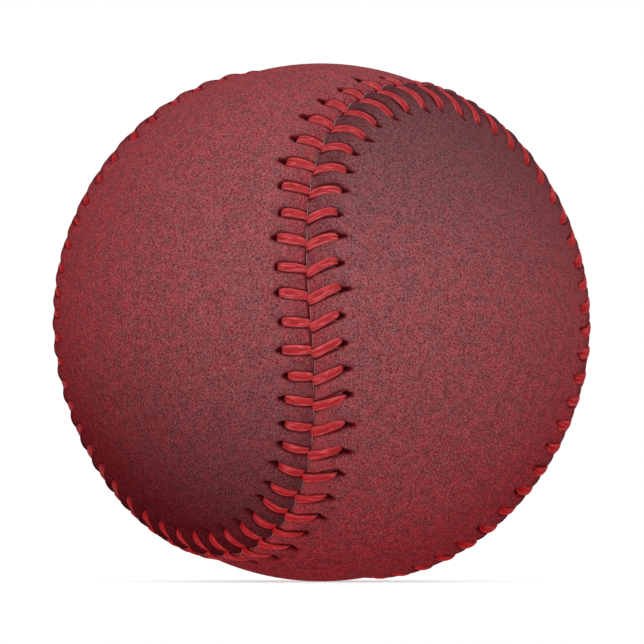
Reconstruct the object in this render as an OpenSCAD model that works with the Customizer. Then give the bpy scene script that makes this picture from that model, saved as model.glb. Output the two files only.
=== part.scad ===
// Baseball: a cushioned cork centre, four windings of yarn, and a cover of two
// figure-eight leather panels sewn edge to edge with a pair of waxed threads.
// The origin is the centre of the ball. -Y is the front, where the seam crosses the girth.

/* [Centre] */
// Diameter of the cork core
core_d = 20.6; // [16:0.1:26]
// Wall of the two rubber cups round the core
cup_wall = 4; // [2:0.1:6]
// Thickness of the gasket between the rims of the cups
gasket_t = 0.8; // [0.4:0.1:2]
// Wall of the rubber jacket over the cups
jacket_wall = 2.4; // [1:0.1:4]

/* [Windings] */
// Build-up of the inner grey wool yarn
inner_wool_t = 13.9; // [8:0.1:18]
// Build-up of the white wool yarn
white_wool_t = 1.8; // [0.8:0.1:4]
// Build-up of the outer grey wool yarn
outer_wool_t = 2.2; // [0.8:0.1:4]
// Build-up of the fine cotton yarn
cotton_t = 0.5; // [0.3:0.1:2]
// Film of rubber cement over the yarn
cement_t = 0.1; // [0.1:0.05:0.5]
// Gap between one layer and the next, which the glue or the stretch of the yarn takes up
layer_gap = 0.05; // [0.02:0.01:0.2]

/* [Cover] */
// Thickness of the leather
leather_t = 1.25; // [0.8:0.05:2]
// Gap between the cement and the flesh side of the leather
lining_gap = 0.2; // [0.18:0.01:0.4]
// Width of a panel across its neck, measured over the ball
neck_w = 32; // [26:0.5:38]
// Angle between the seam and an upright line where it crosses the girth
cross_angle = 11.5; // [4:0.5:20]
// Rounding of the cut edge of the leather
edge_round = 0.4; // [0.1:0.05:0.7]
// Distance over which the raised edge falls back to the ball
welt_fall = 3; // [1.5:0.1:5]

/* [Stitching] */
// Stitches on each side of the seam
stitches = 108; // [88:4:128]
// Distance from the seam to the needle holes
stitch_reach = 3.8; // [2.8:0.1:4.6]
// How far the stitches spread round the turns of the seam, in degrees
turn_spread = 1.07; // [0:0.01:2]
// Width of the thread where it lies on the leather
thread_w = 1.2; // [0.9:0.05:1.4]
// Thickness of the thread where it lies on the leather
thread_t = 0.55; // [0.3:0.05:0.8]
// Width of the thread where it is drawn tight through the seam and the holes
drawn_w = 0.9; // [0.5:0.05:0.95]
// Thickness of the thread where it is drawn tight
drawn_t = 0.45; // [0.3:0.05:0.6]
// Rise of the thread at the middle of a stitch
stitch_bow = 0.1; // [0:0.05:0.4]
// Play round the thread in its holes, in the seam and under the leather
thread_play = 0.12; // [0.1:0.01:0.2]
// How far past its hole the thread of the upper panel enters the seam, in stitches
upper_dive = 0.15; // [0.05:0.05:0.15]
// How far past its hole the thread of the lower panel enters the seam, in stitches
lower_dive = 0.5; // [0.5:0.05:0.6]

/* [Pose] */
// Lean of the seam's axis from upright, towards the right, as the ball lies
lean = 7.5; // [-45:0.5:45]

/* [Hidden] */
$fn = 96;

// Radii of the layers, each built on the one inside it
r_core = core_d / 2;
r_cup_in = r_core + layer_gap;
r_cup = r_cup_in + cup_wall;
r_jacket_in = r_cup + layer_gap;
r_jacket = r_jacket_in + jacket_wall;
r_inner_wool_in = r_jacket + layer_gap;
r_inner_wool = r_inner_wool_in + inner_wool_t;
r_white_wool_in = r_inner_wool + layer_gap;
r_white_wool = r_white_wool_in + white_wool_t;
r_outer_wool_in = r_white_wool + layer_gap;
r_outer_wool = r_outer_wool_in + outer_wool_t;
r_cotton_in = r_outer_wool + layer_gap;
r_cotton = r_cotton_in + cotton_t;
r_cement_in = r_cotton + layer_gap;
r_cement = r_cement_in + cement_t;
r_lining = r_cement + lining_gap;
r_cover = r_lining + leather_t;

// The seam stands proud by the thread that runs under the leather beside it
welt_h = drawn_t + 2 * thread_play;
slit_w = drawn_t + 2 * thread_play;
hole_d = norm([drawn_w, drawn_t]) + 2 * thread_play;
hole_overrun = 1;
shoulder = stitch_reach + hole_d;
foot = shoulder + welt_fall;

// Heights of the thread: under the leather, at both ends of a stitch and at its middle
r_under = (r_cement + r_lining + welt_h) / 2;
r_bend = r_cover + welt_h + thread_play + drawn_t / 2;
r_over = r_cover + welt_h + thread_play + thread_t / 2 + stitch_bow;
stitch_step = 360 / stitches;

// Numbers of flat steps round the edge of a panel and across it
edge_steps = stitches;
row_count = edge_steps / 2;
cross_steps = 8;
turn_of_lobe = -45;
slope_step = 0.01;

// Weights of the seam's formula that give the neck its width and the crossing its angle
neck_half = over_ball(neck_w / 2);
seam_ratio = 2 * tan(cross_angle) / tan(neck_half);
seam_bend = (1 + seam_ratio) / (3 + seam_ratio);
seam_rise = (1 - seam_bend) / tan(neck_half);

// Angle, from the centre, of a distance measured over the cover
function over_ball(distance) = distance / r_cover * 180 / PI;

function unit(v) = v / norm(v);

// Point of the seam on a ball of radius 1. It crosses the front at 0 and goes up from there.
function seam(u) =
  let (a = u + turn_spread * sin(4 * u))
  unit([
    sin(a) - seam_bend * sin(3 * a),
    -cos(a) - seam_bend * cos(3 * a),
    seam_rise * sin(2 * a)
  ]);

// Direction of the seam, and the direction across it into the upper panel
function along(u) = unit(seam(u + slope_step) - seam(u - slope_step));
function across(u) = cross(seam(u), along(u));

// Point beside the seam: distance into the upper panel over the ball, and radius
function beside(u, distance, r) =
  let (angle = over_ball(distance))
  r * (seam(u) * cos(angle) + across(u) * sin(angle));

// Section of a panel's edge, from the flesh side round the cut edge to the grain side
edge_section = [
  [foot, r_lining],
  [shoulder, r_lining + welt_h],
  [slit_w / 2, r_lining + welt_h],
  [slit_w / 2, r_cover + welt_h - edge_round],
  [slit_w / 2 + edge_round, r_cover + welt_h],
  [shoulder, r_cover + welt_h],
  [foot, r_cover]
];
section_last = len(edge_section) - 1;

function edge_angle(j) = turn_of_lobe + (j + 0.5) * 360 / edge_steps;

// The panel is its own mirror image across the plane X = Y, and rows cross that plane squarely
mirror_normal = [1, -1, 0] / sqrt(2);

function row_point(j, m, r) =
  let (
    end = unit(beside(edge_angle(j), foot, r)),
    offset = end * mirror_normal,
    middle = unit(end - offset * mirror_normal),
    angle = asin(offset) * (1 - 2 * m / cross_steps)
  )
  r * (middle * cos(angle) + mirror_normal * sin(angle));

// Numbers of the points: first the edge band, then the rows of each face
band_size = edge_steps * len(edge_section);
face_size = (row_count - 2) * (cross_steps - 1);

function band_id(j, k) = (j + edge_steps) % edge_steps * len(edge_section) + k;

function face_id(j, m, face) =
  let (rim = face * section_last)
  m == cross_steps ? band_id(edge_steps - 1 - j, rim)
  : m == 0 || j == 0 || j == row_count - 1 ? band_id(j, rim)
  : band_size + face * face_size + (j - 1) * (cross_steps - 1) + m - 1;

function two_triangles(a, b, c, d) = [[a, b, c], [a, c, d]];

function is_triangle(t) = t[0] != t[1] && t[1] != t[2] && t[2] != t[0];

module panel_skin() {
  points = concat(
    [for (j = [0 : edge_steps - 1]) for (p = edge_section) beside(edge_angle(j), p[0], p[1])],
    [
      for (r = [r_lining, r_cover])
        for (j = [1 : row_count - 2])
          for (m = [1 : cross_steps - 1])
            row_point(j, m, r)
    ]
  );
  band = [
    for (j = [0 : edge_steps - 1])
      for (k = [0 : section_last - 1])
        each two_triangles(
          band_id(j, k), band_id(j, k + 1), band_id(j + 1, k + 1), band_id(j + 1, k)
        )
  ];
  flesh = [
    for (j = [0 : row_count - 2])
      for (m = [0 : cross_steps - 1])
        each two_triangles(
          face_id(j, m, 0), face_id(j + 1, m, 0), face_id(j + 1, m + 1, 0), face_id(j, m + 1, 0)
        )
  ];
  grain = [
    for (j = [0 : row_count - 2])
      for (m = [0 : cross_steps - 1])
        each two_triangles(
          face_id(j, m, 1), face_id(j, m + 1, 1), face_id(j + 1, m + 1, 1), face_id(j + 1, m, 1)
        )
  ];
  polyhedron(points, [for (t = concat(band, flesh, grain)) if (is_triangle(t)) t]);
}

// Turns the Z axis to point the way v does
module towards(v) {
  rotate([0, acos(v[2] / norm(v)), atan2(v[1], v[0])]) children();
}

module needle_holes() {
  for (i = [0 : stitches - 1])
    towards(beside(i * stitch_step, stitch_reach, 1))
      translate([0, 0, r_lining + welt_h - hole_overrun])
        cylinder(d = hole_d, h = leather_t + 2 * hole_overrun);
}

module cover_panel() {
  color("#8c464a")
    difference() {
      panel_skin();
      needle_holes();
    }
}

// One ring of a thread's tube. Corners go round from its inner side to its outer side, and swap
// on the lower panel, so that the tube runs on untwisted from one panel to the other.
function ring(u, side, distance, r, inner, outer, w) =
  let (
    half = along(u) * w / 2,
    inside = beside(u, side * (distance + inner[0]), r + inner[1]),
    outside = beside(u, side * (distance + outer[0]), r + outer[1]),
    first = side > 0 ? inside : outside,
    second = side > 0 ? outside : inside
  )
  [first - half, first + half, second + half, second - half];

// One stitch: up through its needle hole, over the leather and down into the seam
function stitch(i, side) =
  let (
    hole = i * stitch_step,
    dive = (i - (side > 0 ? upper_dive : lower_dive)) * stitch_step,
    over = thread_t / 2,
    tight = drawn_t / 2
  )
  concat(
    ring(hole, side, stitch_reach, r_under, [-tight, tight], [tight, -tight], drawn_w),
    ring(hole, side, stitch_reach, r_bend, [-tight, -tight], [tight, tight], drawn_w),
    ring((hole + dive) / 2, side, stitch_reach / 2, r_over, [0, -over], [0, over], thread_w),
    ring(dive, side, 0, r_bend, [tight, -tight], [-tight, tight], drawn_w),
    ring(dive, side, 0, r_under, [tight, -tight], [-tight, tight], drawn_w)
  );

// One unbroken thread. Its stitches go back along the seam and change panels every time.
module thread(first_side) {
  sides = 4;
  points = [
    for (i = [0 : stitches - 1])
      each stitch(-i, i % 2 == 0 ? first_side : -first_side)
  ];
  count = len(points);
  rings = count / sides;
  faces = [
    for (n = [0 : rings - 1])
      for (k = [0 : sides - 1])
        each two_triangles(
          n * sides + k,
          ((n + 1) * sides + k) % count,
          ((n + 1) * sides + (k + 1) % sides) % count,
          n * sides + (k + 1) % sides
        )
  ];
  color("#c8282d")
    polyhedron(points, faces);
}

module layer(r_out, r_in) {
  difference() {
    sphere(r_out);
    sphere(r_in);
  }
}

// Slab of the given thickness, wide enough to cut through the centre
module slab(t) {
  cube([4 * r_cup, 4 * r_cup, t], center = true);
}

module cork_core() {
  color("peru")
    sphere(r_core);
}

module rubber_cup() {
  color("dimgray")
    difference() {
      layer(r_cup, r_cup_in);
      translate([0, 0, -r_cup])
        slab(2 * r_cup + gasket_t);
    }
}

module upper_rubber_cup() {
  rubber_cup();
}

module lower_rubber_cup() {
  rotate([0, 180, 0])
    rubber_cup();
}

module cup_gasket() {
  color("firebrick")
    intersection() {
      layer(r_cup, r_cup_in);
      slab(gasket_t);
    }
}

module rubber_jacket() {
  color("brown")
    layer(r_jacket, r_jacket_in);
}

module inner_wool_winding() {
  color("gray")
    layer(r_inner_wool, r_inner_wool_in);
}

module white_wool_winding() {
  color("ivory")
    layer(r_white_wool, r_white_wool_in);
}

module outer_wool_winding() {
  color("darkgray")
    layer(r_outer_wool, r_outer_wool_in);
}

module cotton_winding() {
  color("whitesmoke")
    layer(r_cotton, r_cotton_in);
}

module cement_coat() {
  color("lightyellow")
    layer(r_cement, r_cement_in);
}

// The cover is one shape twice: the lower panel is the upper one turned over about the front
module upper_cover_panel() {
  rotate([0, lean, 0])
    cover_panel();
}

module lower_cover_panel() {
  rotate([0, lean + 180, 0])
    cover_panel();
}

module leading_thread() {
  rotate([0, lean, 0])
    thread(1);
}

module trailing_thread() {
  rotate([0, lean, 0])
    thread(-1);
}

cork_core();
upper_rubber_cup();
lower_rubber_cup();
cup_gasket();
rubber_jacket();
inner_wool_winding();
white_wool_winding();
outer_wool_winding();
cotton_winding();
cement_coat();
upper_cover_panel();
lower_cover_panel();
leading_thread();
trailing_thread();
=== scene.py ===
"""Dresses the baseball: two sewn leather panels, waxed thread, and yarn, rubber and cork inside."""
import math

import bpy
from mathutils import Matrix, Vector


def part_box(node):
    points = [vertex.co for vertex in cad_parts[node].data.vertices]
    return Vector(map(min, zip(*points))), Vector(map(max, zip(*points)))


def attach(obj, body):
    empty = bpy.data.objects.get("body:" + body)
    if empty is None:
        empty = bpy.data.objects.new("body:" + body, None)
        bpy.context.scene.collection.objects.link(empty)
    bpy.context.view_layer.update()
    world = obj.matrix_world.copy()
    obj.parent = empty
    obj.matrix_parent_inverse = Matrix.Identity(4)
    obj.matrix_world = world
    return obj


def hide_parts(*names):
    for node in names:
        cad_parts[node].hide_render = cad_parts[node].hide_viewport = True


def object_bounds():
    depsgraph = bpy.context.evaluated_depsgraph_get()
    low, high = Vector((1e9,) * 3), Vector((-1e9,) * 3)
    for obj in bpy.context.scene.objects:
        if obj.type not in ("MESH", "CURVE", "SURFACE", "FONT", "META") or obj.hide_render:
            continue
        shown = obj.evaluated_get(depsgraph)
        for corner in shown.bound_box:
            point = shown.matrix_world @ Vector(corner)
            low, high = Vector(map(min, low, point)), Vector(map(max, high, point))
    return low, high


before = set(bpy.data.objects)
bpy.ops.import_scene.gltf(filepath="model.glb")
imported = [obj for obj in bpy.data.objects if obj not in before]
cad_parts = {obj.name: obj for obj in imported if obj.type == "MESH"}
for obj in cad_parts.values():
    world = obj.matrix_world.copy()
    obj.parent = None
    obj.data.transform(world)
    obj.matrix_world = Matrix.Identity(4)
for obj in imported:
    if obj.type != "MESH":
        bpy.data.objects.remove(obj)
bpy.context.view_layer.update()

MM = 0.001

# Sizes of the ball, as its solids have them
LEATHER = 1.25 * MM
LINING_GAP = 0.2 * MM
COVER_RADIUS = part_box("cement_coat")[1].z + LINING_GAP + LEATHER
NECK_WIDTH = 32 * MM
CROSS_ANGLE = math.radians(11.5)
TURN_SPREAD = math.radians(1.07)
LEAN = math.radians(7.5)
STITCHES = 108
STITCH_STEP = 2 * math.pi / STITCHES
STITCH_PITCH = 3.73 * MM
STITCH_REACH = 3.8 * MM

# Weights of the seam's formula that give the neck its width and the crossing its angle
NECK_SLOPE = math.tan(NECK_WIDTH / 2 / COVER_RADIUS)
SEAM_RATIO = 2 * math.tan(CROSS_ANGLE) / NECK_SLOPE
SEAM_BEND = (1 + SEAM_RATIO) / (3 + SEAM_RATIO)
SEAM_RISE = (1 - SEAM_BEND) / NECK_SLOPE

# Places of the needle holes and of the dives into the seam, in stitches back along the seam
UPPER_HOLE = 0.2
LOWER_HOLE = 0.1
UPPER_DIVE = 0.35
LOWER_DIVE = 0.53

# How far the bend of the seam moves those places, and how far stitches run ahead on the ball's sides
HOLE_DRIFT = 0.54
HOLE_PULL = 0.06
UNDER_LOBE_LEAD = 0.2
DIVE_DRIFT = 0.08
DIVE_PULL = 0.18
DIVE_TWIST = 0.09
SEAM_DRIFT = 0.12

# Powers that curve a stitch into its dive: on a straight seam, and added to that round a lobe
STITCH_SWING = 1.1
LOBE_SWING = 1.2

# Tightness of the sewing on the sides of the ball. The values named tight are for a tightness of 1
SIDE_TIGHTNESS = 0.65

# Change of a stitch's reach, as a share of it: where it is tight, in a hollow and round an upper lobe
TIGHT_REACH = -0.48
HOLLOW_REACH = 0.13
UPPER_LOBE_REACH = -0.1

# The raised leather beside the seam: a ridge with hollow flanks, a little lower round a lobe,
# and the share of it that the flesh side follows
RIDGE_HEIGHT = 1.95 * MM
RIDGE_POWER = 2.0
RIDGE_FOOT = 8.0 * MM
LOBE_LIFT = -0.08
FLESH_SHARE = 0.3

# The cut edge: half the slit, a notch and a tongue for each stitch, and its roll down into the seam
SLIT_HALF = 0.05 * MM
NOTCH = 0.15 * MM
NOTCH_HALF = 0.5 * MM
TONGUE = 0.5 * MM
TONGUE_GAP_HALF = 0.9 * MM
EDGE_ROLL = 1.2 * MM
EDGE_DROP = 0.5 * MM

# The pillows between the stitches: their height, the share of it that tight sewing takes, where they
# end, and the groove under a stitch, which is partly a wide dome and partly as narrow as the thread
PILLOW = 0.7 * MM
TIGHT_PILLOW = 0.85
PILLOW_END = 5.8 * MM
GROOVE_HALF = 0.72 * MM
DOME_SHARE = 0.45

# The pit at each needle hole, and the crease that runs on from it and is deep for a share of its length
HOLE_HALF_ALONG = 0.55 * MM
HOLE_HALF_ACROSS = 0.36 * MM
HOLE_PAST = 0.24 * MM
HOLE_DEPTH = 0.35 * MM
UPPER_CREASE = 0.95 * MM
LOWER_CREASE = 1.9 * MM
CREASE_HALF = 0.34 * MM
CREASE_DEPTH = 0.3 * MM
CREASE_FULL = 0.35

# Marks on the leather: painted shade beside the thread, pale on the raw rim of the panel on top, which
# changes with the bend, and painted shade on the upper panel's tucked edge, where the seam hardly bends
CONTACT_OFFSET = 0.68 * MM
CONTACT_HALF = 0.2 * MM
CONTACT_SHADE = 0.5
RIM = 0.09 * MM
RIM_CHANGE = 0.25
TUCK = 0.6 * MM
TUCK_BEND = 0.45
TUCK_SHADE = 0.45

# How far the sewing strays by hand, from a fixed seed: along the seam in stitches, the others as shares
STRAY_SEED = 7.0
STRAY_ALONG = 0.07
STRAY_REACH = 0.1
STRAY_WIDTH = 0.1
STRAY_CREASE = 0.35

# Points of a panel: rows along the seam, and columns across its grain side and its flesh side,
# with most of them in the band beside the seam and crowded towards the edge, and how near points join
ROWS_PER_STITCH = 16
ROWS = STITCHES * ROWS_PER_STITCH // 2 + 1
GRAIN_COLUMNS = 91
FLESH_COLUMNS = 15
COLUMNS = GRAIN_COLUMNS + FLESH_COLUMNS + 1
BAND_SHARE = 0.78
BAND_CROWDING = 1.5
SAME_POINT = 0.002 * MM

# The rows start at the middle of a lobe, and the two long edges mirror each other in one plane
LOBE_TURN = -math.pi / 4
MIRROR_NORMAL = Vector((1, -1, 0)).normalized()

# One stitch, from under its needle hole over the leather to the seam, in mm:
# distance from the seam, height over the pillows, and width against the plain thread
UPPER_STITCH = [
    (3.86, -2.20, 0.55),
    (3.86, -1.30, 0.60),
    (3.76, -0.80, 0.78),
    (3.50, -0.56, 0.95),
    (3.05, -0.42, 1.06),
    (2.30, -0.36, 1.12),
    (1.50, -0.42, 1.10),
    (0.80, -0.58, 1.00),
    (0.28, -0.84, 0.88),
    (0.00, -1.10, 0.70),
    (0.00, -2.20, 0.60),
]
LOWER_STITCH = [
    (4.05, -2.20, 0.55),
    (4.05, -1.30, 0.60),
    (3.95, -0.80, 0.74),
    (3.66, -0.54, 0.88),
    (3.05, -0.38, 0.98),
    (2.30, -0.32, 1.03),
    (1.50, -0.36, 1.07),
    (0.80, -0.50, 1.10),
    (0.22, -0.74, 1.04),
    (0.00, -1.05, 0.80),
    (0.00, -2.20, 0.60),
]

# The thread: its outline, and the groove between its two strands as shares of that
THREAD_HALF_WIDTH = 0.67 * MM
THREAD_HALF_THICKNESS = 0.38 * MM
THREAD_SIDES = 10
STRAND_GROOVE = 0.35
STRAND_GROOVE_HALF = 0.4

# How far a stitch sinks into the leather at the seam: round a lobe, in a hollow of the upper panel,
# and less on the right
LOBE_SINK = 0.12 * MM
UPPER_HOLLOW_SINK = 0.25 * MM
RIGHT_LIFT = 0.25 * MM

# How far tight sewing sinks it, more on the left, and lifts its head again, more on the right
TIGHT_SINK = 0.2 * MM
LEFT_SINK = 0.12 * MM
TIGHT_HEAD_LIFT = 0.28 * MM
RIGHT_HEAD_LIFT = 0.14 * MM

# Shares of its width that a stitch loses at the seam round a lobe, and gains or loses at its head,
# with the power that keeps that to the head
LOBE_NARROWING = 0.22
TIGHT_HEAD_WIDENING = 0.6
HEAD_WIDENING = 0.25
HEAD_TAPER = 0.25
HEAD_POWER = 4

# How the ball lies in the photograph, in pixels, and where the camera stands
PHOTO_WIDTH = 644
BALL_CENTRE_PX = (320.75, 322.36)
BALL_RADIUS_PX = 259.06
CAMERA_DISTANCE = 25 * COVER_RADIUS
CAMERA_AZIMUTH = math.radians(2.29)
CAMERA_ELEVATION = math.radians(-1.75)
CAMERA_NEAREST = 0.01
SENSOR_MM = 36

# Floor and light: half the floor's side, how much of the floor shows, the even light and the lamp
FLOOR_HALF = 0.5
FLOOR_SHARE = 0.5
SOFT_LIGHT = 0.86
LAMP_PLACE = (0.0, -0.7, 1.0)
LAMP_SIZE = 0.8
LAMP_POWER = 4

# Numbers of the sockets that a mix node has for colours: its inputs, and last its output
MIX_SHARE = 0
MIX_FIRST = 6
MIX_SECOND = 7
MIX_COLOUR = 2

# Length after which a wave texture of scale 1 repeats, about
WAVE_LENGTH = 0.3


# Node trees, written as sums


def feed(tree, socket, value):
    """Leads a flow into a socket, or sets the socket's own value."""
    if isinstance(value, Flow):
        tree.links.new(value.socket, socket)
    else:
        socket.default_value = value


class Flow:
    """A number that flows through a node tree. Each sum on it adds a node."""

    kind = "ShaderNodeMath"

    def __init__(self, tree, socket):
        self.tree = tree
        self.socket = socket

    def then(self, operation, *values):
        node = self.tree.nodes.new(self.kind)
        node.operation = operation
        for socket, value in zip(node.inputs, (self, *values)):
            feed(self.tree, socket, value)
        return type(self)(self.tree, node.outputs[0])

    def __add__(self, value):
        return self.then("ADD", value)

    def __sub__(self, value):
        return self.then("SUBTRACT", value)

    def __mul__(self, value):
        return self.then("MULTIPLY", value)

    def __truediv__(self, value):
        return self.then("DIVIDE", value)

    def __pow__(self, value):
        return self.then("POWER", value)

    def __neg__(self):
        return self * -1

    def __abs__(self):
        return self.then("ABSOLUTE")

    def __rsub__(self, value):
        return -self + value

    def __rtruediv__(self, value):
        return self ** -1 * value

    def at_least(self, value):
        return self.then("MAXIMUM", value)

    def at_most(self, value):
        return self.then("MINIMUM", value)

    def sin(self):
        return self.then("SINE")

    def cos(self):
        return self.then("COSINE")

    def bell(self, half_width):
        """1 at nothing, about a third at the half width, and next to nothing at twice that."""
        share = self / half_width
        return (share * share * -1).then("EXPONENT")

    def ramp(self, start, end):
        """0 at the start, 1 at the end, and a smooth way between them."""
        node = self.tree.nodes.new("ShaderNodeMapRange")
        node.interpolation_type = "SMOOTHSTEP"
        feed(self.tree, node.inputs["Value"], self)
        feed(self.tree, node.inputs["From Min"], start)
        feed(self.tree, node.inputs["From Max"], end)
        return Flow(self.tree, node.outputs["Result"])

    def pick(self, chosen, other):
        """One flow where this one is 1, and another where it is 0."""
        return chosen * self + other * (1 - self)

    def beside(self, name):
        """Another output of the node that this flow comes from."""
        return Flow(self.tree, self.socket.node.outputs[name])


class Arrow(Flow):
    """A vector that flows through a node tree."""

    kind = "ShaderNodeVectorMath"

    def __mul__(self, number):
        node = self.tree.nodes.new(self.kind)
        node.operation = "SCALE"
        feed(self.tree, node.inputs["Vector"], self)
        feed(self.tree, node.inputs["Scale"], number)
        return Arrow(self.tree, node.outputs["Vector"])

    def cross(self, other):
        return self.then("CROSS_PRODUCT", other)

    def unit(self):
        return self.then("NORMALIZE")

    def dot(self, other):
        return self.then("DOT_PRODUCT", other).beside("Value")

    def parts(self):
        """The three numbers of the vector."""
        node = self.tree.nodes.new("ShaderNodeSeparateXYZ")
        feed(self.tree, node.inputs["Vector"], self)
        return [Flow(self.tree, socket) for socket in node.outputs]


class SizedTree:
    """A tree of geometry nodes with a named input for each of its sizes."""

    def __init__(self, name, sizes):
        self.tree = bpy.data.node_groups.new(name, "GeometryNodeTree")
        face = self.tree.interface
        face.new_socket("Geometry", in_out="INPUT", socket_type="NodeSocketGeometry")
        self.identifiers = {
            label: face.new_socket(label, in_out="INPUT", socket_type="NodeSocketFloat").identifier
            for label in sizes
        }
        face.new_socket("Geometry", in_out="OUTPUT", socket_type="NodeSocketGeometry")
        source = self.tree.nodes.new("NodeGroupInput")
        self.geometry = Flow(self.tree, source.outputs["Geometry"])
        self.sizes = {label: Flow(self.tree, source.outputs[label]) for label in sizes}

    def add(self, kind, inputs, **settings):
        """Adds a node with its settings and inputs, and gives its first output."""
        node = self.tree.nodes.new(kind)
        for setting, value in settings.items():
            setattr(node, setting, value)
        for label, value in inputs.items():
            feed(self.tree, node.inputs[label], value)
        return Flow(self.tree, node.outputs[0])

    def position(self):
        return Arrow(self.tree, self.add("GeometryNodeInputPosition", {}).socket)

    def arrow(self, x, y, z):
        return Arrow(self.tree, self.add("ShaderNodeCombineXYZ", {"X": x, "Y": y, "Z": z}).socket)

    def stored(self, geometry, name, value):
        kind = "FLOAT_VECTOR" if isinstance(value, Arrow) else "FLOAT"
        return self.add(
            "GeometryNodeStoreNamedAttribute",
            {"Geometry": geometry, "Name": name, "Value": value},
            data_type=kind,
            domain="POINT",
        )

    def named(self, name):
        return self.add("GeometryNodeInputNamedAttribute", {"Name": name}, data_type="FLOAT")

    def named_arrow(self, name):
        flow = self.add("GeometryNodeInputNamedAttribute", {"Name": name}, data_type="FLOAT_VECTOR")
        return Arrow(self.tree, flow.socket)

    def close(self, geometry, material):
        """Ends the tree with a smooth, real mesh of one material."""
        smooth = self.add("GeometryNodeSetShadeSmooth", {"Geometry": geometry})
        real = self.add("GeometryNodeRealizeInstances", {"Geometry": smooth})
        painted = self.add("GeometryNodeSetMaterial", {"Geometry": real, "Material": material})
        result = self.tree.nodes.new("NodeGroupOutput")
        feed(self.tree, result.inputs["Geometry"], painted)


def grow(name, sized_tree, sizes, base, place):
    """Runs a tree on a base mesh and keeps the outcome as a plain mesh in its place."""
    carrier = bpy.data.objects.new(name + "_base", base)
    bpy.context.scene.collection.objects.link(carrier)
    modifier = carrier.modifiers.new(name, "NODES")
    modifier.node_group = sized_tree.tree
    for label, value in sizes.items():
        modifier[sized_tree.identifiers[label]] = value
    graph = bpy.context.evaluated_depsgraph_get()
    grown = carrier.evaluated_get(graph)
    mesh = bpy.data.meshes.new_from_object(grown, preserve_all_data_layers=True, depsgraph=graph)
    bpy.data.objects.remove(carrier)
    mesh.transform(place)
    mesh.name = name
    piece = bpy.data.objects.new(name, mesh)
    bpy.context.scene.collection.objects.link(piece)
    return piece


# The seam

SEAM_SIZES = {
    "Ball radius": COVER_RADIUS,
    "Seam bend": SEAM_BEND,
    "Seam rise": SEAM_RISE,
    "Turn spread": TURN_SPREAD,
    "Ridge height": RIDGE_HEIGHT,
    "Stitch step": STITCH_STEP,
    "Stray seed": STRAY_SEED,
}


def seam_frame(work, turn):
    """At a turn of the seam: the way out of the ball, along the seam, and across to the upper panel."""
    bend = work.sizes["Seam bend"]
    rise = work.sizes["Seam rise"]
    angle = turn + (turn * 4).sin() * work.sizes["Turn spread"]
    thrice = angle * 3
    twice = angle * 2
    point = work.arrow(
        angle.sin() - thrice.sin() * bend,
        -angle.cos() - thrice.cos() * bend,
        twice.sin() * rise,
    )
    slope = work.arrow(
        angle.cos() - thrice.cos() * bend * 3,
        angle.sin() + thrice.sin() * bend * 3,
        twice.cos() * rise * 2,
    )
    outward = point.unit()
    across = point.cross(slope).unit()
    return outward, across.cross(outward), across


def turned(first, second, angle):
    """Direction that is turned from the first towards the second."""
    return first * angle.cos() + second * angle.sin()


def on_upper(side):
    """1 on the upper panel and 0 on the lower one."""
    return (side + 1) * 0.5


def lobe_turn(turn, side):
    """1 where the seam bends most round a lobe of a side's panel, and -1 round the other panel's."""
    return (turn * 2).sin() * side * -1


def under_lobe(side, lobe):
    """1 on the lower panel where the upper panel's lobe bends most into it, and 0 elsewhere."""
    return (lobe * -1).at_least(0) * (1 - on_upper(side))


def seam_drift(turn):
    """How far stitches run ahead: nothing at the front and the back of the ball, most on its sides."""
    return (1 - (turn * 2).cos()) * SEAM_DRIFT


def tightness(turn):
    """How tight the sewing is drawn: most on the sides of the ball, and not at its front and back."""
    away = 1 - turn.cos()
    return away * away * (2 - away) * SIDE_TIGHTNESS


def reach_share(turn, side, lobe):
    """Share of its full reach that a stitch has: less on the sides and round the upper lobes."""
    hollow = lobe.at_most(0) * -HOLLOW_REACH
    upper_lobe = lobe.at_least(0) * on_upper(side) * UPPER_LOBE_REACH
    return tightness(turn) * TIGHT_REACH + 1 + hollow + upper_lobe


def ridge(work, distance, lobe):
    """Height of the raised leather beside the seam, over its pillows: a tent with hollow flanks."""
    flank = (1 - distance / RIDGE_FOOT).at_least(0).at_most(1) ** RIDGE_POWER
    return flank * work.sizes["Ridge height"] * (lobe * LOBE_LIFT + 1)


def narrowing(lobe, to_hole):
    """Share of its width that a stitch loses towards the seam where the seam bends round a lobe."""
    return lobe.at_least(0) * (1 - to_hole) * LOBE_NARROWING


def stray(work, number, side):
    """How far a stitch strays by hand, from -1 to 1: along the seam, in its reach and in its pull."""
    place = number.then("FLOORED_MODULO", STITCHES) + side * STITCHES + work.sizes["Stray seed"]
    dice = work.add("ShaderNodeTexWhiteNoise", {"W": place}, noise_dimensions="1D").beside("Color")
    return [part * 2 - 1 for part in Arrow(work.tree, dice.socket).parts()]


# The cover


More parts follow.
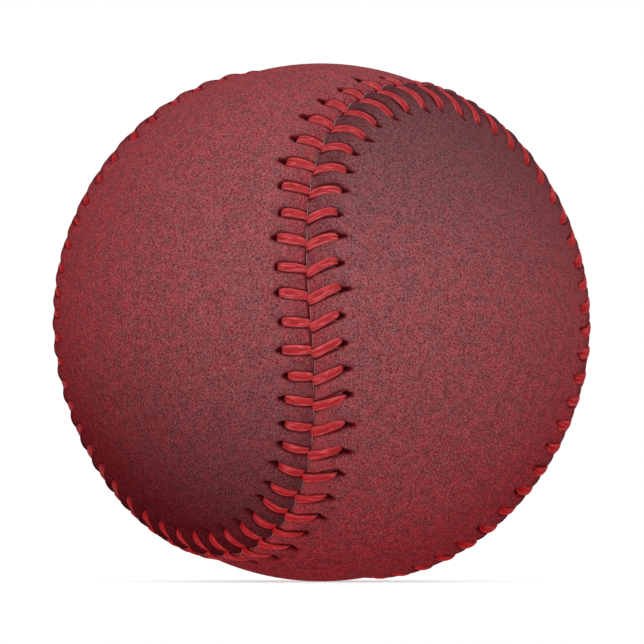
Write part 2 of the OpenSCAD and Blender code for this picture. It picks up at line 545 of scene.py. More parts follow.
class PanelSheet:
    """The flat sheet of a panel, as flows: rows follow the seam, columns go round both faces."""

    def __init__(self, work):
        row, column, _ = work.position().parts()
        self.turn = (row + 0.5) * math.pi + LOBE_TURN
        count = COLUMNS - 1
        number = ((column + 0.5) * count).then("ROUND").then("FLOORED_MODULO", count)
        self.on_grain = number.then("LESS_THAN", GRAIN_COLUMNS - 0.5)
        grain = number * (2 / (GRAIN_COLUMNS - 1)) - 1
        flesh = 1 - (number - GRAIN_COLUMNS) * (2 / (FLESH_COLUMNS - 1))
        self.place = self.on_grain.pick(grain, flesh)
        own_side = self.place.then("GREATER_THAN", 0)
        self.edge_turn = own_side.pick(self.turn, -self.turn - math.pi / 2)
        self.lobe = lobe_turn(self.edge_turn, 1)
        inset = 1 - abs(self.place)
        self.in_band = inset.then("LESS_THAN", BAND_SHARE)
        self.band_way = (inset / BAND_SHARE).at_most(1)
        self.across_way = self.place / (1 - BAND_SHARE)
        drift = seam_drift(self.edge_turn) * work.sizes["Side"]
        self.stitch_way = self.edge_turn / work.sizes["Stitch step"] - drift


def pulled_ahead(work, sheet, label):
    """Place in the seam of a dive or a junction, which the bend of the seam pulls ahead."""
    pull = work.sizes["Side"] * DIVE_PULL - sheet.lobe * DIVE_TWIST
    return work.sizes[label] - sheet.lobe * DIVE_DRIFT + sheet.lobe * sheet.lobe * pull


def edge_distance(work, sheet):
    """Distance of the cut edge from the seam, over which it bulges between the stitches round a lobe."""
    way = sheet.stitch_way - pulled_ahead(work, sheet, "Junction")
    off_junction = abs(way - way.then("ROUND")) * STITCH_PITCH
    tongue = (1 - off_junction.bell(TONGUE_GAP_HALF)) * sheet.lobe
    return off_junction.bell(NOTCH_HALF) * NOTCH + SLIT_HALF - tongue * TONGUE


class NearStitch:
    """The stitch nearest to a point of a panel, as flows: how far off it is, its hole and its crease."""

    def __init__(self, work, sheet, distance):
        side = work.sizes["Side"]
        lobe = sheet.lobe
        lead = under_lobe(side, lobe) * UNDER_LOBE_LEAD
        hole = work.sizes["Hole"] - lobe * HOLE_DRIFT + lobe * lobe * HOLE_PULL - lead
        dive = pulled_ahead(work, sheet, "Dive")
        hole_distance = reach_share(sheet.edge_turn, side, lobe) * STITCH_REACH
        self.to_hole = (distance / hole_distance).at_most(1).at_least(0)
        swing = (1 - self.to_hole) ** (lobe.at_least(0) * LOBE_SWING + STITCH_SWING)
        way = sheet.stitch_way - hole - swing * (dive - hole)
        number = way.then("ROUND")
        along, reach, pull = stray(work, number * side, side)
        self.off = abs(way - number - along * self.to_hole * STRAY_ALONG) * STITCH_PITCH
        self.past_hole = distance - (reach * STRAY_REACH + 1) * hole_distance
        upper_bend = abs(lobe) * on_upper(side)
        self.crease_end = work.sizes["Crease"] * (pull * STRAY_CREASE + 1) * (upper_bend + 1)


def groove_depth(sheet, stitch, distance):
    """How far the stitches draw the leather down: 0 on top of a pillow, and most under the thread."""
    dome = (stitch.off * (math.pi * 2 / STITCH_PITCH)).cos() * 0.5 + 0.5
    half_width = (1 - narrowing(sheet.lobe, stitch.to_hole)) * GROOVE_HALF
    share = dome * DOME_SHARE + stitch.off.bell(half_width) * (1 - DOME_SHARE)
    slack = 1 - tightness(sheet.edge_turn) * TIGHT_PILLOW
    return share * distance.ramp(PILLOW_END, STITCH_REACH) * slack * PILLOW


def hole_marks(stitch):
    """How deep the leather is creased beyond a needle hole and pressed in at it, from 0 to 1."""
    before_end = stitch.past_hole.ramp(stitch.crease_end, stitch.crease_end * CREASE_FULL)
    beyond_hole = stitch.past_hole.ramp(-HOLE_HALF_ACROSS, 0)
    crease = stitch.off.bell(CREASE_HALF) * before_end * beyond_hole
    pit = stitch.off.bell(HOLE_HALF_ALONG) * (stitch.past_hole - HOLE_PAST).bell(HOLE_HALF_ACROSS)
    return crease, pit


class SewnLeather:
    """What the sewing does to a panel, as flows: the height of its grain side, and its marks: painted shade
    and a pale raw rim.
    """

    def __init__(self, work, sheet, distance, edge):
        side = work.sizes["Side"]
        lobe = sheet.lobe
        stitch = NearStitch(work, sheet, distance)
        crease, pit = hole_marks(stitch)
        self.from_edge = distance - edge
        self.height = (
            ridge(work, distance, lobe)
            - groove_depth(sheet, stitch, distance)
            - crease * CREASE_DEPTH
            - pit * HOLE_DEPTH
            - self.from_edge.ramp(EDGE_ROLL, 0) * EDGE_DROP
        )

        beside_stitch = stitch.past_hole.ramp(HOLE_HALF_ACROSS, -HOLE_HALF_ACROSS)
        contact = (stitch.off - CONTACT_OFFSET).bell(CONTACT_HALF) * beside_stitch * CONTACT_SHADE
        tuck = self.from_edge.ramp(TUCK, 0) * on_upper(side) * lobe.bell(TUCK_BEND) * TUCK_SHADE
        # Painted shade in the creases and pits, beside the thread and on the tucked edge
        self.crease = crease.at_least(pit).at_least(contact).at_least(tuck)
        on_top = (lobe - side * RIM_CHANGE).ramp(-RIM_CHANGE, RIM_CHANGE)
        self.rim = self.from_edge.ramp(RIM, RIM / 3) * on_top


PANEL_SIZES = {
    **SEAM_SIZES,
    "Leather": LEATHER,
    "Side": 1.0,
    "Hole": -UPPER_HOLE,
    "Dive": -UPPER_DIVE,
    "Junction": -(UPPER_DIVE + LOWER_DIVE) / 2,
    "Crease": UPPER_CREASE,
}

# The lower panel is made as the upper one and turned over, so its stitches run the other way
LOWER_PANEL_SIZES = {
    **PANEL_SIZES,
    "Side": -1.0,
    "Hole": LOWER_HOLE,
    "Dive": LOWER_DIVE,
    "Junction": (UPPER_DIVE + LOWER_DIVE) / 2,
    "Crease": LOWER_CREASE,
}


def panel_tree(leather):
    """Tree of a cover panel. It follows the seam's formula and the pull of each stitch."""
    work = SizedTree("cover_panel", PANEL_SIZES)
    radius = work.sizes["Ball radius"]
    sheet = PanelSheet(work)

    edge = edge_distance(work, sheet)
    distance = edge + (RIDGE_FOOT - edge) * sheet.band_way ** BAND_CROWDING
    sewn = SewnLeather(work, sheet, distance, edge)

    edge_out, _, edge_across = seam_frame(work, sheet.edge_turn)
    band = turned(edge_out, edge_across, distance / radius)

    row_out, _, row_across = seam_frame(work, sheet.turn)
    foot = turned(row_out, row_across, RIDGE_FOOT / radius)
    mirror = work.arrow(*MIRROR_NORMAL)
    lean_off = foot.dot(mirror)
    middle = (foot - mirror * lean_off).unit()
    inner = turned(middle, mirror, lean_off.then("ARCSINE") * sheet.across_way)

    direction = sheet.in_band.pick(band, inner)
    grain_radius = radius + sheet.in_band * sewn.height
    flesh_rise = ridge(work, distance, sheet.lobe) * FLESH_SHARE
    flesh_radius = radius - work.sizes["Leather"] + sheet.in_band * flesh_rise
    spot = direction * sheet.on_grain.pick(grain_radius, flesh_radius)

    mesh = work.add(
        "GeometryNodeMeshGrid",
        {"Size X": 1, "Size Y": 1, "Vertices X": ROWS, "Vertices Y": COLUMNS},
    )
    # The crease attribute carries painted shade: creases, pits, beside the thread and the tucked edge
    mesh = work.stored(mesh, "crease", sewn.crease * sheet.in_band)
    mesh = work.stored(mesh, "rim", sewn.rim * sheet.in_band)
    mesh = work.stored(mesh, "from_edge", sheet.in_band.pick(sewn.from_edge, radius))
    mesh = work.stored(mesh, "lobe", sheet.lobe * sheet.in_band)
    mesh = work.stored(mesh, "spine", direction.parts()[2])
    mesh = work.add("GeometryNodeSetPosition", {"Geometry": mesh, "Position": spot})
    mesh = work.add("GeometryNodeMergeByDistance", {"Geometry": mesh, "Distance": SAME_POINT})
    outside_out = work.add("GeometryNodeFlipFaces", {"Mesh": mesh})
    work.close(outside_out, leather)
    return work


def make_cover(leather):
    """The two panels: one shape twice, the lower one turned over about the front."""
    tree = panel_tree(leather)
    for name, sizes, turn in (
        ("upper_cover_panel", PANEL_SIZES, LEAN),
        ("lower_cover_panel", LOWER_PANEL_SIZES, LEAN + math.pi),
    ):
        base = bpy.data.meshes.new(name + "_base")
        piece = grow("sewn_" + name, tree, sizes, base, Matrix.Rotation(turn, 4, "Y"))
        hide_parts(name)
        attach(piece, "root")


# The thread


def hole_place(side, bend):
    """Place of a stitch's hole, in stitches along the seam."""
    start = UPPER_HOLE if side == 1 else LOWER_HOLE
    lead = 0 if side == 1 else UNDER_LOBE_LEAD * max(0, -bend)
    return -start + HOLE_DRIFT * bend + side * HOLE_PULL * bend ** 2 + lead


def dive_place(side, bend):
    """Place of a stitch's dive into the seam, in stitches along the seam."""
    start = UPPER_DIVE if side == 1 else LOWER_DIVE
    pull = DIVE_PULL + DIVE_TWIST * bend
    return -start + DIVE_DRIFT * bend + pull * bend ** 2


def thread_route(name, upper_first):
    """Route of one thread, laid out flat: across the seam, along it in stitches, and height."""
    points = []
    sides = []
    widths = []
    numbers = []
    for number in range(STITCHES):
        side = 1 if (number % 2 == 0) == upper_first else -1
        bend = math.sin(-2 * number * STITCH_STEP)
        drift = SEAM_DRIFT * (1 - math.cos(2 * number * STITCH_STEP))
        hole = hole_place(side, bend)
        to_dive = dive_place(side, bend) - hole
        power = STITCH_SWING + LOBE_SWING * max(0, -side * bend)
        route = UPPER_STITCH if side == 1 else LOWER_STITCH
        for distance, height, width in route:
            swing = max(0, 1 - distance * MM / STITCH_REACH) ** power
            points.append((distance * MM, hole + swing * to_dive + drift - number, height * MM))
            sides.append(side)
            widths.append(width)
            numbers.append(-number)
    count = len(points)
    mesh = bpy.data.meshes.new(name + "_route")
    mesh.from_pydata(points, [(k, (k + 1) % count) for k in range(count)], [])
    for label, values in (("side", sides), ("width", widths), ("number", numbers)):
        mesh.attributes.new(label, "FLOAT", "POINT").data.foreach_set("value", values)
    return mesh


def thread_profile(work):
    """Outline of the thread: two waxed strands side by side."""
    circle = work.add("GeometryNodeCurvePrimitiveCircle", {"Resolution": THREAD_SIDES, "Radius": 1})
    across, up, _ = work.position().parts()
    groove = 1 - across.bell(STRAND_GROOVE_HALF) * STRAND_GROOVE
    outline = work.arrow(across * THREAD_HALF_WIDTH, up * groove * THREAD_HALF_THICKNESS, 0)
    circle = work.stored(circle, "strand", across)
    return work.add("GeometryNodeSetPosition", {"Geometry": circle, "Position": outline})


def stitch_sink(turn, side, lobe, to_hole):
    """How far a stitch sinks into the leather, by the bend of the seam and by tight sewing."""
    hollow_sink = lobe.at_most(0) * on_upper(side) * UPPER_HOLLOW_SINK
    right_lift = turn.sin().at_least(0) * (turn.cos() + 1) * (RIGHT_LIFT / 2)
    bent_sink = lobe.at_least(0) * LOBE_SINK - hollow_sink - right_lift
    head_lift = turn.sin() * RIGHT_HEAD_LIFT + TIGHT_HEAD_LIFT
    tight_sink = TIGHT_SINK - turn.sin() * LEFT_SINK - to_hole * head_lift
    return bent_sink * (1 - to_hole) + tight_sink * tightness(turn)


def stitch_spread(turn, side, lobe, to_hole):
    """Share of its width that a stitch has: less at the seam of a lobe, more or less at its head."""
    bend = lobe * side * -1
    head = bend.at_least(0) * HEAD_WIDENING + bend.at_most(0) * HEAD_TAPER
    head = head + tightness(turn) * TIGHT_HEAD_WIDENING
    return (1 - narrowing(lobe, to_hole)) * (to_hole ** HEAD_POWER * head + 1)


def thread_tree(waxed_thread):
    """Tree of a sewing thread. It bends the flat route over the ball and gives it two strands."""
    work = SizedTree("sewing_thread", SEAM_SIZES)
    radius = work.sizes["Ball radius"]
    side = work.named("side")
    distance, way, height = work.position().parts()
    stray_along, stray_reach, stray_width = stray(work, work.named("number"), side)
    to_hole = (distance / STITCH_REACH).at_most(1)
    turn = (way + stray_along * to_hole * STRAY_ALONG) * work.sizes["Stitch step"]
    lobe = lobe_turn(turn, side)
    distance = distance * (stray_reach * STRAY_REACH + 1) * reach_share(turn, side, lobe)
    outward, along, across = seam_frame(work, turn)
    direction = turned(outward, across, distance * side / radius)
    sink = stitch_sink(turn, side, lobe, to_hole)
    spot = direction * (radius + ridge(work, distance, lobe) + height - sink)
    width = work.named("width") * (stray_width * STRAY_WIDTH + 1)
    width = width * stitch_spread(turn, side, lobe, to_hole)

    route = work.stored(work.geometry, "along", along)
    route = work.stored(route, "width", width)
    route = work.add("GeometryNodeSetPosition", {"Geometry": route, "Position": spot})
    curve = work.add("GeometryNodeMeshToCurve", {"Mesh": route})
    tangent = Arrow(work.tree, work.add("GeometryNodeInputTangent", {}).socket)
    level = work.named_arrow("along")
    square = (level - tangent * level.dot(tangent)).unit()
    curve = work.add("GeometryNodeSetCurveNormal", {"Curve": curve, "Normal": square}, mode="FREE")
    length = work.add("GeometryNodeSplineParameter", {}).beside("Length")
    curve = work.stored(curve, "length", length)
    mesh = work.add(
        "GeometryNodeCurveToMesh",
        {"Curve": curve, "Profile Curve": thread_profile(work), "Scale": work.named("width")},
    )
    work.close(mesh, waxed_thread)
    return work


def make_threads(waxed_thread):
    """The two threads, which change panels with every stitch and mesh with each other."""
    tree = thread_tree(waxed_thread)
    place = Matrix.Rotation(LEAN, 4, "Y")
    for name, upper_first in (("leading_thread", True), ("trailing_thread", False)):
        piece = grow("sewn_" + name, tree, SEAM_SIZES, thread_route(name, upper_first), place)
        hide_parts(name)
        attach(piece, "root")


# Finishes


def ink(red, green, blue):
    """Colour of a picture, from 0 to 255, as the linear values that a shader takes."""
    shades = []
    for value in (red, green, blue):
        share = value / 255
        shades.append(share / 12.92 if share <= 0.04045 else ((share + 0.055) / 1.055) ** 2.4)
    return (*shades, 1)


# Dyes of the leather, and the paints on them, some of which are painted shade and a painted sheen: a
# colour, and how strongly it covers
DULL_DYE = ink(115, 31, 36)
BRIGHT_DYE = ink(149, 32, 41)
PALE_SPECKS = (ink(200, 122, 125), 0.34)
DARK_SPECKS = (ink(62, 5, 11), 0.78)
TIP_DYE = (ink(52, 8, 12), 0.73)
# Painted shade beside the seam round a lobe
SEAM_SHADE = (ink(40, 10, 13), 1)
FRESH_DYE = (ink(176, 40, 50), 0.14)
RUBBED_DYE = (ink(205, 75, 82), 0.26)
# Painted shade low on the ball's sides, and beside the seam on its sides
LOW_SIDE_SHADE = (ink(52, 8, 12), 0.15)
SEAM_SIDE_SHADE = (ink(40, 10, 13), 0.45)
# Painted sheen: a pale layer that stands in for a broad highlight
SHEEN_ON_LEATHER = (ink(193, 168, 172), 1)
# Painted shade in creases, beside the thread and on the tucked edge, darkest in the holes
CREASE_SHADE_RED = (ink(88, 16, 22), 1)
HOLE_SHADE_DARK = (ink(52, 10, 15), 1)
RAW_RIM = (ink(214, 176, 172), 1)

# Dyes of the thread, and the paints on them, some of which are painted shade, a painted highlight and a
# painted sheen
DEEP_FIBRE = ink(177, 11, 22)
BRIGHT_FIBRE = ink(194, 24, 34)
DARK_STREAK = (ink(150, 4, 16), 1)
PALE_STREAK = (ink(214, 80, 86), 1)
# Painted highlight on the crest of each strand, painted shade between the strands and at the thread's
# flanks
STRAND_CREST_HIGHLIGHT = (ink(214, 92, 98), 0.35)
STRAND_GAP_SHADE = (ink(150, 6, 16), 0.5)
STRAND_FLANK_SHADE = (ink(90, 6, 14), 0.7)
# Painted shade on the thread: darker at the top, purer red below and on the sides, duller at the lower left
TOP_THREAD_SHADE = (ink(110, 12, 20), 0.2)
LOW_THREAD_SHADE = (ink(178, 2, 13), 0.4)
SIDE_THREAD_SHADE = (ink(158, 0, 6), 0.55)
LOWER_LEFT_THREAD_SHADE = (ink(138, 44, 52), 0.4)
# Painted sheen on the thread
SHEEN_ON_THREAD = (ink(220, 190, 190), 0.32)

# Grain of the leather and the thread: sizes of spots, depths of bumps, and widths beside the cut edge
# over which painted shade and dyes gather and the painted sheen is spared
SPECKLE = 0.22 * MM
DYE_PATCH = 1.4 * MM
PEBBLE = 1.2 * MM
PEBBLE_DEPTH = 0.05 * MM
BESIDE_EDGE_WIDTH = 3.5 * MM
BESIDE_EDGE_FULL = 0.2 * MM
SPARED_WIDTH = 5 * MM
SPARED_FULL = 0.5 * MM
FIBRE = 0.15 * MM
FIBRE_DEPTH = 0.04 * MM
STREAK_LENGTH = 1.6 * MM
STREAKS_ACROSS = 2.2

# Painted sheen, a pale layer that stands in for a broad highlight: all over, more at the front and back,
# the top and the right, less at the poles
SHEEN_ALL = 0.042
SHEEN_FRONT = 0.09
SHEEN_TOP = 0.05
SHEEN_POLE_FADE = 0.012
SHEEN_RIGHT = 0.022

# How the painted sheen shows on the leather: between and on the pale specks, and less beside the seam and
# low down
EVEN_SHEEN = 0.33
SPECK_SHEEN = 1.1
SEAM_SPARED = 0.45
LOW_SPARED = 0.7

# How pale the raw rim shows, and how much paler round a lobe
RIM_PALE = 0.34
LOBE_RIM_PALE = 0.13


class Finish:
    """A material in the making: its tree and its shader."""

    def __init__(self, name, roughness, specular=0.5):
        self.material = bpy.data.materials.new(name)
        self.material.use_nodes = True
        self.tree = self.material.node_tree
        self.shader = self.tree.nodes["Principled BSDF"]
        self.shader.inputs["Roughness"].default_value = roughness
        self.shader.inputs["Specular IOR Level"].default_value = specular

    def coordinates(self):
        node = self.tree.nodes.new("ShaderNodeTexCoord")
        return Arrow(self.tree, node.outputs["Object"])

    def ball_place(self):
        """Where a point lies on the ball, to the right, to the back and up, each from -1 to 1."""
        return (self.coordinates() * (1 / COVER_RADIUS)).parts()

    def thread_place(self, along, across):
        """Where a point lies on a thread that is laid out flat."""
        node = self.tree.nodes.new("ShaderNodeCombineXYZ")
        feed(self.tree, node.inputs["X"], along)
        feed(self.tree, node.inputs["Y"], across)
        return Arrow(self.tree, node.outputs[0])

    def attribute(self, name):
        node = self.tree.nodes.new("ShaderNodeAttribute")
        node.attribute_name = name
        return Flow(self.tree, node.outputs["Fac"])

    def noise(self, grain, detail=2, where=None):
        """Cloudy noise with spots of about the size of the grain."""
        node = self.tree.nodes.new("ShaderNodeTexNoise")
        feed(self.tree, node.inputs["Vector"], where or self.coordinates())
        node.inputs["Scale"].default_value = 1 / grain
        node.inputs["Detail"].default_value = detail
        return Flow(self.tree, node.outputs["Fac"])

    def mix(self, share, first, second):
        """Goes from the first colour to the second as the share goes from 0 to 1."""
        node = self.tree.nodes.new("ShaderNodeMix")
        node.data_type = "RGBA"
        feed(self.tree, node.inputs[MIX_SHARE], share)
        feed(self.tree, node.inputs[MIX_FIRST], first)
        feed(self.tree, node.inputs[MIX_SECOND], second)
        return Flow(self.tree, node.outputs[MIX_COLOUR])

    def coat(self, colour, place, paint):
        """Lays a paint over a colour, where the place says and as strongly as the paint covers."""
        shade, cover = paint
        return self.mix(place * cover, colour, shade)

    def paint(self, colour):
        feed(self.tree, self.shader.inputs["Base Color"], colour)

    def bump(self, height, depth):
        node = self.tree.nodes.new("ShaderNodeBump")
        node.inputs["Distance"].default_value = depth
        feed(self.tree, node.inputs["Height"], height)
        self.tree.links.new(node.outputs["Normal"], self.shader.inputs["Normal"])


def painted_sheen(finish):
    """Painted sheen: how strongly a pale layer stands in for a broad highlight, most on the front and the
    back and towards the top, none underneath.
    """
    across, depth, height = finish.ball_place()
    share = depth * depth * SHEEN_FRONT + height * SHEEN_TOP - height * height * SHEEN_POLE_FADE
    return (share + across * SHEEN_RIGHT + SHEEN_ALL).at_least(0)


def dyed_leather(finish, speckle):
    """Red dye in soft patches with pale and dark specks, deeper towards the tips of the lobes."""
    patch = finish.noise(DYE_PATCH, detail=3)
    face = finish.mix(patch.ramp(0.3, 0.7), DULL_DYE, BRIGHT_DYE)
    face = finish.coat(face, speckle.ramp(0.5, 0.75), PALE_SPECKS)
    face = finish.coat(face, speckle.ramp(0.48, 0.25), DARK_SPECKS)
    return finish.coat(face, finish.attribute("spine").ramp(0.0, -0.95), TIP_DYE)


def rubbed_leather_shade_and_sheen(finish, face, speckle):
    """Leather with painted shade beside the seam round the lobes, fresher or rubbed red beside it, painted
    shade low on the sides and beside the seam there, and a painted sheen.
    """
    _, depth, height = finish.ball_place()
    lobe = finish.attribute("lobe")
    from_edge = finish.attribute("from_edge")
    beside_edge = from_edge.ramp(BESIDE_EDGE_WIDTH, BESIDE_EDGE_FULL)
    lower_sides = abs(depth).ramp(0.6, 0.0) * height.ramp(0.0, -0.7)

    # Painted shade beside the seam, most round a lobe and less towards the top
    lobe_shade = (lobe * 0.5 + 0.05).at_least(0) * (1 - height.ramp(-0.3, 0.7) * 0.25)
    rubbed = lobe.ramp(-0.1, -0.9) * (height + 0.35).bell(0.7)
    face = finish.coat(face, beside_edge * lobe_shade, SEAM_SHADE)
    face = finish.coat(face, beside_edge * (lobe + 0.2).bell(0.5), FRESH_DYE)
    face = finish.coat(face, beside_edge * rubbed, RUBBED_DYE)
    # Painted shade low on the ball's sides and beside the seam on its sides
    face = finish.coat(face, lower_sides, LOW_SIDE_SHADE)
    face = finish.coat(face, beside_edge * abs(depth).ramp(0.5, 0.0), SEAM_SIDE_SHADE)

    # Painted sheen, spared beside the seam and low on the sides
    near_seam = from_edge.ramp(SPARED_WIDTH, SPARED_FULL)
    sheen_share = painted_sheen(finish) * (1 - near_seam * SEAM_SPARED) * (1 - lower_sides * LOW_SPARED)
    sheen_share = sheen_share * (speckle.ramp(0.25, 0.65) * SPECK_SHEEN + EVEN_SHEEN)
    return finish.coat(face, sheen_share, SHEEN_ON_LEATHER)


def cover_leather():
    """Red leather, dyed, with painted shade and a painted sheen, painted shade in its creases and holes,
    and a pale line on its raw rim.
    """
    finish = Finish("cover_leather", roughness=0.8, specular=0)
    speckle = finish.noise(SPECKLE, detail=1)
    crease = finish.attribute("crease")
    pale = finish.attribute("lobe").ramp(0.0, 1.0) * LOBE_RIM_PALE + RIM_PALE
    face = rubbed_leather_shade_and_sheen(finish, dyed_leather(finish, speckle), speckle)
    # Painted shade in creases and beside the thread, darkest in the holes
    face = finish.coat(face, crease.ramp(0.0, 0.5), CREASE_SHADE_RED)
    face = finish.coat(face, crease.ramp(0.5, 0.9), HOLE_SHADE_DARK)
    finish.paint(finish.coat(face, finish.attribute("rim") * pale, RAW_RIM))
    finish.bump(speckle * 0.5 + finish.noise(PEBBLE), PEBBLE_DEPTH)
    return finish.material


def spun_thread(finish, fibre):
    """Two red strands with streaks along them, with a painted highlight on their crests and painted shade
    between and beside them.
    """
    strand = finish.attribute("strand")
    along = finish.attribute("length") / STREAK_LENGTH
    streak = finish.noise(1, where=finish.thread_place(along, strand * STREAKS_ACROSS))
    from_gap = abs(strand)
    colour = finish.mix(fibre.ramp(0.3, 0.7), DEEP_FIBRE, BRIGHT_FIBRE)
    colour = finish.coat(colour, streak.ramp(0.52, 0.38), DARK_STREAK)
    colour = finish.coat(colour, streak.ramp(0.52, 0.66), PALE_STREAK)
    # Painted highlight on the strands' crests, painted shade between them and at the flanks
    colour = finish.coat(colour, from_gap.ramp(0.35, 0.75), STRAND_CREST_HIGHLIGHT)
    colour = finish.coat(colour, from_gap.ramp(0.25, 0.0), STRAND_GAP_SHADE)
    return finish.coat(colour, from_gap.ramp(0.8, 1.0), STRAND_FLANK_SHADE)


def waxed_thread():
    """Red cotton thread with painted shade: darker at the top, duller at the lower left, purer red below
    and on the sides; and a painted sheen.
    """
    finish = Finish("waxed_thread", roughness=0.65, specular=0.06)
    fibre = finish.noise(FIBRE)
    across, depth, height = finish.ball_place()
    lower_left = across.ramp(-0.6, -0.85) * height.ramp(0.3, -0.3)
    colour = spun_thread(finish, fibre)
    # Painted shade: darker at the top, purer red below and on the sides, duller at the lower left
    colour = finish.coat(colour, height.ramp(0.2, 0.8), TOP_THREAD_SHADE)
    colour = finish.coat(colour, height.ramp(-0.35, -0.85), LOW_THREAD_SHADE)
    colour = finish.coat(colour, abs(depth).ramp(0.45, 0.0), SIDE_THREAD_SHADE)
    colour = finish.coat(colour, lower_left, LOWER_LEFT_THREAD_SHADE)
    # Painted sheen on the thread, as on the leather
    finish.paint(finish.coat(colour, painted_sheen(finish), SHEEN_ON_THREAD))
    finish.bump(fibre, FIBRE_DEPTH)
    return finish.material


def cork():
    """Pressed cork: pale grains with dark gaps."""
    finish = Finish("cork", roughness=0.8)
    grain = finish.noise(1.6 * MM, detail=4)
    colour = finish.mix(grain.ramp(0.35, 0.65), ink(120, 76, 44), ink(196, 152, 104))
    finish.paint(colour)
    finish.bump(grain, 0.2 * MM)
    return finish.material


def rubber(name, dark, light):
    """Moulded rubber with a faint bloom."""
    finish = Finish(name, roughness=0.55)
    bloom = finish.noise(3 * MM, detail=3)
    finish.paint(finish.mix(bloom.ramp(0.3, 0.7), dark, light))
    finish.bump(finish.noise(0.4 * MM), 0.03 * MM)
    return finish.material


def yarn(name, thickness, dark, light):
    """Wound yarn: strands side by side, with a fuzz of fibres."""
    finish = Finish(name, roughness=0.9, specular=0.2)
    node = finish.tree.nodes.new("ShaderNodeTexWave")
    node.inputs["Scale"].default_value = WAVE_LENGTH / thickness
    node.inputs["Distortion"].default_value = 3
    feed(finish.tree, node.inputs["Vector"], finish.coordinates())
    strands = Flow(finish.tree, node.outputs["Fac"])
    fuzz = finish.noise(thickness / 4, detail=4)
    finish.paint(finish.mix(strands * 0.6 + fuzz * 0.4, dark, light))
    finish.bump(strands + fuzz * 0.5, thickness / 3)
    return finish.material


def rubber_cement():
    """Thin yellowish film of cement with brush marks."""
    finish = Finish("rubber_cement", roughness=0.3)
    film = finish.noise(4 * MM, detail=3)
    finish.paint(finish.mix(film.ramp(0.3, 0.7), ink(226, 214, 176), ink(240, 232, 204)))
    finish.bump(film, 0.05 * MM)
    return finish.material


def dress_inside():
    """Finishes of the layers that the cover hides."""
    black = rubber("black_rubber", ink(26, 26, 28), ink(44, 44, 46))
    red = rubber("red_rubber", ink(128, 34, 28), ink(150, 50, 40))
    grey = yarn("grey_wool", 1.6 * MM, ink(84, 86, 92), ink(150, 152, 156))
    white = yarn("white_wool", 1.4 * MM, ink(190, 186, 174), ink(238, 235, 226))
    cotton = yarn("white_cotton", 0.6 * MM, ink(206, 202, 192), ink(246, 244, 238))
    finishes = {
        "cork_core": cork(),
        "upper_rubber_cup": black,
        "lower_rubber_cup": black,
        "cup_gasket": red,
        "rubber_jacket": red,
        "inner_wool_winding": grey,
        "white_wool_winding": white,
        "outer_wool_winding": grey,
        "cotton_winding": cotton,
        "cement_coat": rubber_cement(),
    }
    for node, material in finishes.items():
        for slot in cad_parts[node].material_slots:
            slot.material = material


# Floor, light and camera


def seen_rays(tree):
    """1 for what the camera sees, straight or by gloss and glass, and 0 for light that falls on things."""
    path = tree.nodes.new("ShaderNodeLightPath")
    seen = Flow(tree, path.outputs["Is Camera Ray"])
    for ray in ("Is Glossy Ray", "Is Transmission Ray"):
        seen = seen.at_least(Flow(tree, path.outputs[ray]))
    return seen


def floor_paper():
    """Pale paper that shows under the ball, fades into the white backdrop and lets light through."""
    finish = Finish("floor_paper", roughness=0.9, specular=0)
    across, back, _ = finish.coordinates().parts()
    reach = (across * across + back * back) ** 0.5
    tooth = finish.noise(1.5 * MM)
    finish.paint(finish.mix(tooth, ink(247, 247, 247), ink(251, 251, 251)))
    fade = finish.tree.nodes.new("ShaderNodeMixShader")
    clear = finish.tree.nodes.new("ShaderNodeBsdfTransparent")
    shown = seen_rays(finish.tree) * reach.ramp(COVER_RADIUS, 0) * FLOOR_SHARE
    feed(finish.tree, fade.inputs[0], shown)
    finish.tree.links.new(clear.outputs[0], fade.inputs[1])
    finish.tree.links.new(finish.shader.outputs[0], fade.inputs[2])
    finish.tree.links.new(fade.outputs[0], finish.tree.nodes["Material Output"].inputs["Surface"])
    return finish.material


def make_floor(level):
    """Square floor under the ball, which takes its shadow."""
    corners = [
        (across * FLOOR_HALF, back * FLOOR_HALF, level)
        for across, back in ((-1, -1), (1, -1), (1, 1), (-1, 1))
    ]
    mesh = bpy.data.meshes.new("floor")
    mesh.from_pydata(corners, [], [(0, 1, 2, 3)])
    mesh.materials.append(floor_paper())
    floor = bpy.data.objects.new("floor", mesh)
    bpy.context.scene.collection.objects.link(floor)


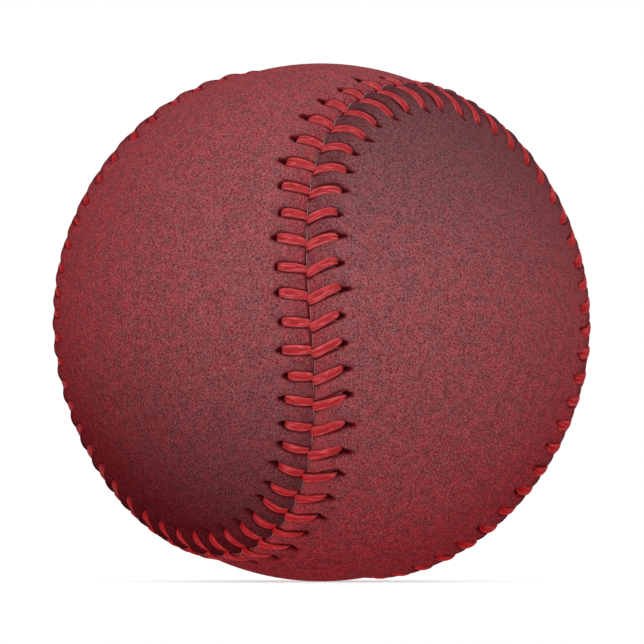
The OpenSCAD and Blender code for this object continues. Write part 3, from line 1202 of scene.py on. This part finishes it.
def make_world():
    """Even soft light all round, on a backdrop that is white to the camera and in reflections."""
    world = bpy.data.worlds.new("studio")
    world.use_nodes = True
    bpy.context.scene.world = world
    tree = world.node_tree
    strength = seen_rays(tree) * (1 - SOFT_LIGHT) + SOFT_LIGHT
    feed(tree, tree.nodes["Background"].inputs["Color"], (1, 1, 1, 1))
    feed(tree, tree.nodes["Background"].inputs["Strength"], strength)


def make_lamp(name, place, size, power):
    """Square soft lamp that looks at the ball."""
    light = bpy.data.lights.new(name, "AREA")
    light.size = size
    light.energy = power
    lamp = bpy.data.objects.new(name, light)
    lamp.location = place
    lamp.rotation_euler = Vector(place).to_track_quat("Z", "Y").to_euler()
    bpy.context.scene.collection.objects.link(lamp)


def make_camera():
    """Long lens at the photograph's angle, framed so that the ball lies where the photograph has it."""
    camera = bpy.data.objects.new("camera", bpy.data.cameras.new("camera"))
    bpy.context.scene.collection.objects.link(camera)
    bpy.context.scene.camera = camera
    back = Vector((
        math.sin(CAMERA_AZIMUTH) * math.cos(CAMERA_ELEVATION),
        -math.cos(CAMERA_AZIMUTH) * math.cos(CAMERA_ELEVATION),
        math.sin(CAMERA_ELEVATION),
    ))
    camera.location = back * CAMERA_DISTANCE
    camera.rotation_euler = back.to_track_quat("Z", "Y").to_euler()
    lens_px = BALL_RADIUS_PX * math.sqrt((CAMERA_DISTANCE / COVER_RADIUS) ** 2 - 1)
    camera.data.sensor_width = SENSOR_MM
    camera.data.lens = lens_px / PHOTO_WIDTH * SENSOR_MM
    camera.data.shift_x = (PHOTO_WIDTH / 2 - BALL_CENTRE_PX[0]) / PHOTO_WIDTH
    camera.data.shift_y = (BALL_CENTRE_PX[1] - PHOTO_WIDTH / 2) / PHOTO_WIDTH
    camera.data.clip_start = CAMERA_NEAREST


make_cover(cover_leather())
make_threads(waxed_thread())
dress_inside()
visual_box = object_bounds()
make_floor(visual_box[0][2])
make_world()
make_lamp("front_lamp", LAMP_PLACE, LAMP_SIZE, LAMP_POWER)
make_camera()
bpy.context.scene.view_settings.view_transform = "Standard"
